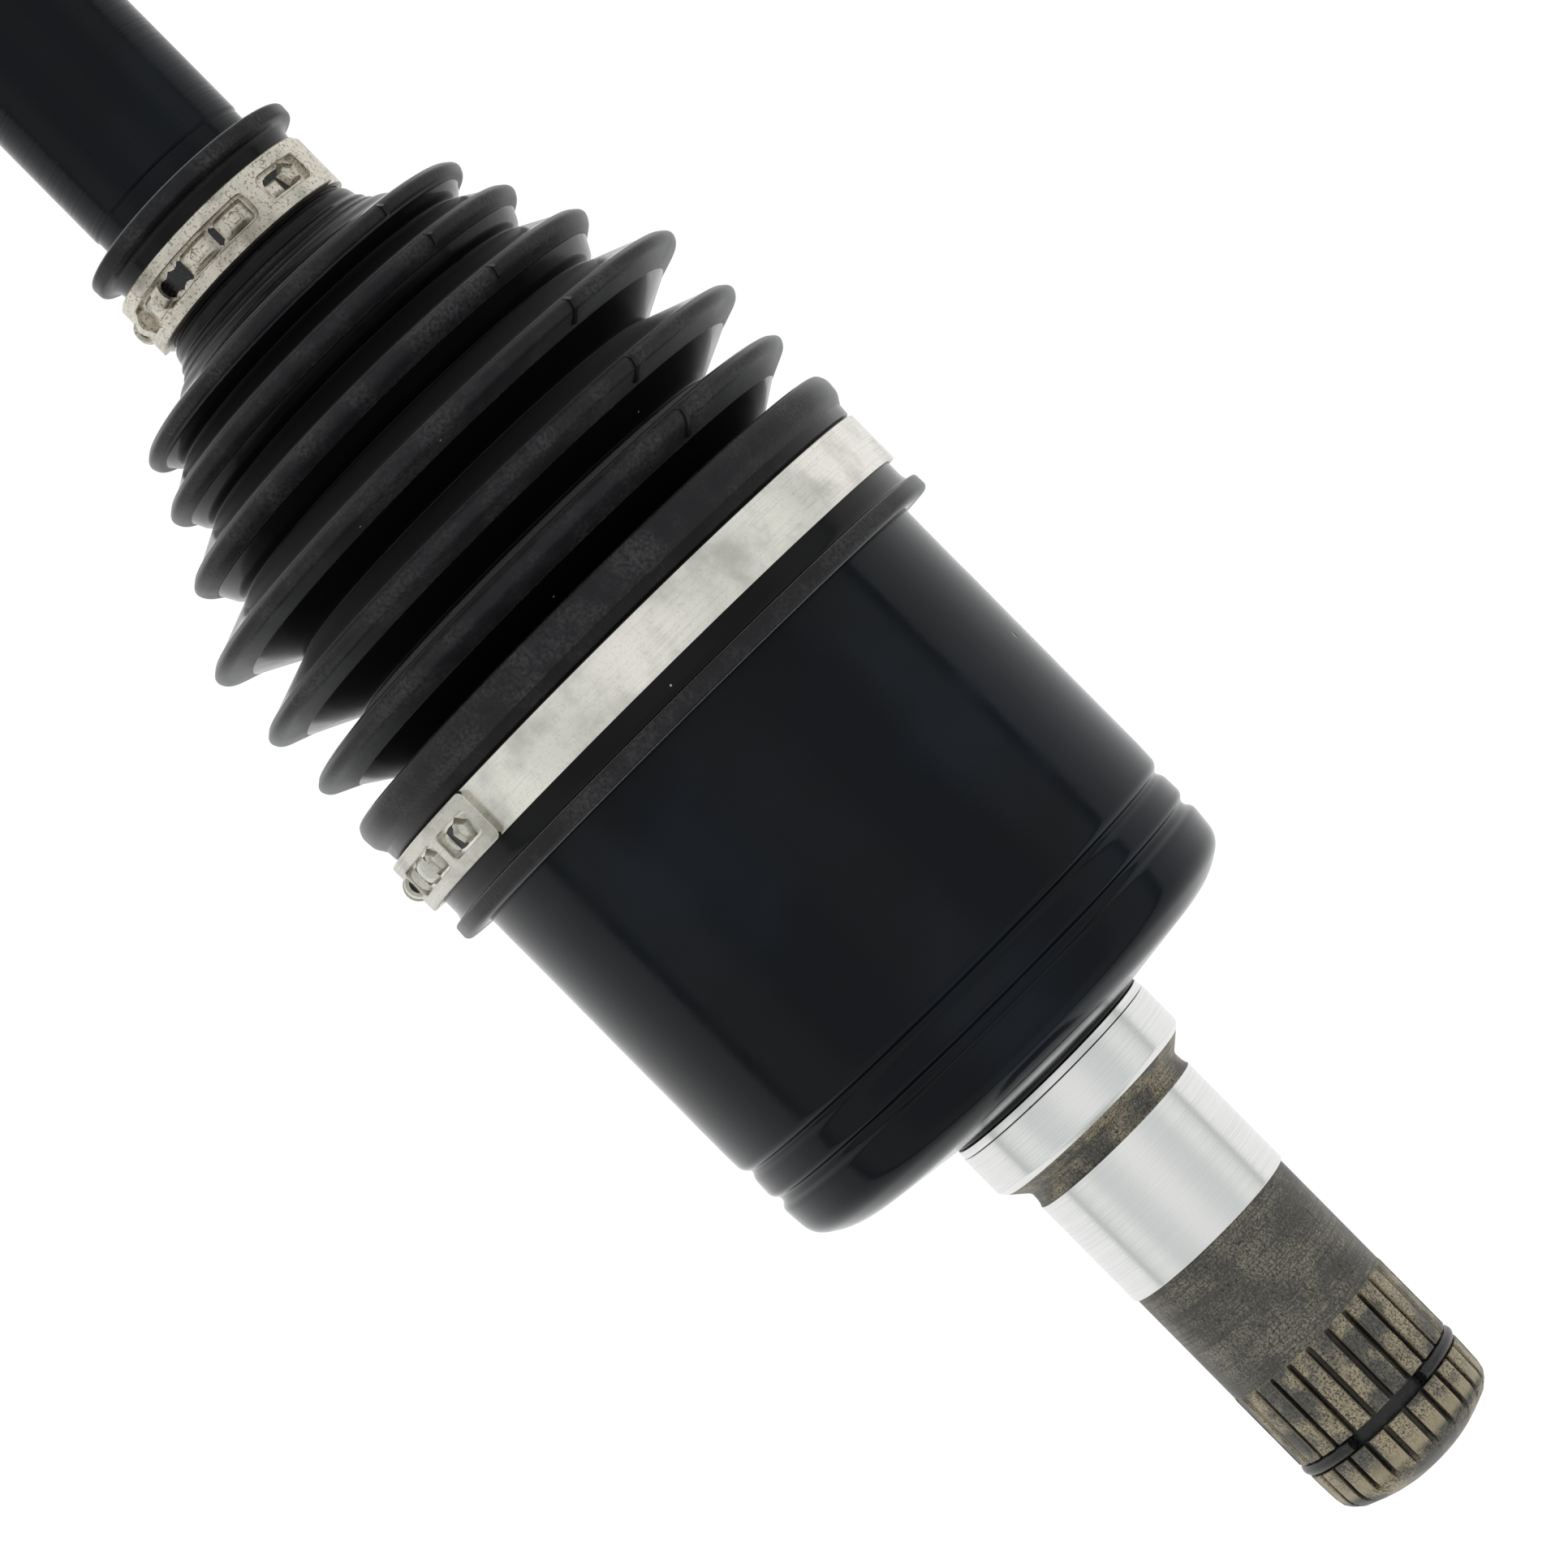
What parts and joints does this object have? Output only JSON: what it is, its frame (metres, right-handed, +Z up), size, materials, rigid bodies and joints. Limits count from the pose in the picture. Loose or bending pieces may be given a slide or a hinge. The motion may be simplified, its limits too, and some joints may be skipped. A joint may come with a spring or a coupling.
{
  "type": "cv axle",
  "caption": "Half shaft with a plunging inboard ball joint, a fixed outboard ball joint, bellows boots, band clamps and splined stubs.",
  "frame": {"origin": "on the axle's axis, at the inner end of the inboard bearing journal", "axes": "+X along the axle from the inboard stub towards the wheel hub, +Z up"},
  "size_m": [0.6391, 0.0899, 0.0878],
  "materials": {
    "black_paint": "gloss black paint over turned steel",
    "boot_rubber": "moulded black boot, glossy flanks and matt crests",
    "clamp_steel": "satin strip steel",
    "ground_steel": "ground bearing journals",
    "phosphate_steel": "dark heat-treated spline steel",
    "bearing_steel": "hardened bearing steel",
    "spring_wire": "black oxide spring wire",
    "zinc_steel": "zinc plated fastener steel"
  },
  "bodies": {
    "shaft": {"bar_shaft": "black_paint", "inboard_inner_race": "bearing_steel", "inboard_race_snap_ring": "spring_wire", "inboard_race_stop_ring": "spring_wire", "inboard_boot_small_clamp": "clamp_steel", "outboard_inner_race": "bearing_steel", "outboard_race_snap_ring": "spring_wire", "outboard_race_stop_ring": "spring_wire", "outboard_boot_small_clamp": "clamp_steel"},
    "inboard_boot": {"inboard_boot": "boot_rubber"},
    "inboard_housing": {"inboard_outer_race": "black_paint", "inboard_stub_circlip": "spring_wire", "inboard_stopper_ring": "spring_wire", "inboard_boot_large_clamp": "clamp_steel"},
    "inboard_cage": {"inboard_cage": "bearing_steel", "inboard_ball_1": "bearing_steel", "inboard_ball_2": "bearing_steel", "inboard_ball_3": "bearing_steel", "inboard_ball_4": "bearing_steel", "inboard_ball_5": "bearing_steel", "inboard_ball_6": "bearing_steel"},
    "outboard_housing": {"outboard_outer_race": "black_paint", "outboard_dust_ring": "black_paint", "outboard_boot": "boot_rubber", "outboard_boot_large_clamp": "clamp_steel", "hub_washer": "zinc_steel", "hub_nut": "zinc_steel", "cotter_pin": "zinc_steel"},
    "outboard_cage": {"outboard_cage": "bearing_steel", "outboard_ball_1": "bearing_steel", "outboard_ball_2": "bearing_steel", "outboard_ball_3": "bearing_steel", "outboard_ball_4": "bearing_steel", "outboard_ball_5": "bearing_steel", "outboard_ball_6": "bearing_steel"}
  },
  "joints": [
    {"name": "inboard_bend", "type": "hinge", "parent": "shaft", "child": "inboard_boot", "pos_m": [0.0595, 0, 0], "axis": [0, 1, 0], "range_deg": [-18, 18], "deforming": ["inboard_boot"]},
    {"name": "inboard_plunge", "type": "slide", "parent": "inboard_boot", "child": "inboard_housing", "axis": [1, 0, 0], "range_m": [-0.015, 0.012], "deforming": ["inboard_boot"]},
    {"name": "inboard_cage_bend", "type": "hinge", "parent": "shaft", "child": "inboard_cage", "pos_m": [0.0595, 0, 0], "axis": [0, 1, 0], "range_deg": [-9, 9]},
    {"name": "outboard_bend", "type": "hinge", "parent": "shaft", "child": "outboard_housing", "pos_m": [0.4615, 0, 0], "axis": [0, 1, 0], "range_deg": [-40, 40], "deforming": ["outboard_boot"]},
    {"name": "outboard_cage_bend", "type": "hinge", "parent": "shaft", "child": "outboard_cage", "pos_m": [0.4615, 0, 0], "axis": [0, 1, 0], "range_deg": [-20, 20]}
  ],
  "couplings": [
    {"joint": "inboard_cage_bend", "follows": "inboard_bend", "ratio": 0.5},
    {"joint": "outboard_cage_bend", "follows": "outboard_bend", "ratio": 0.5}
  ]
}
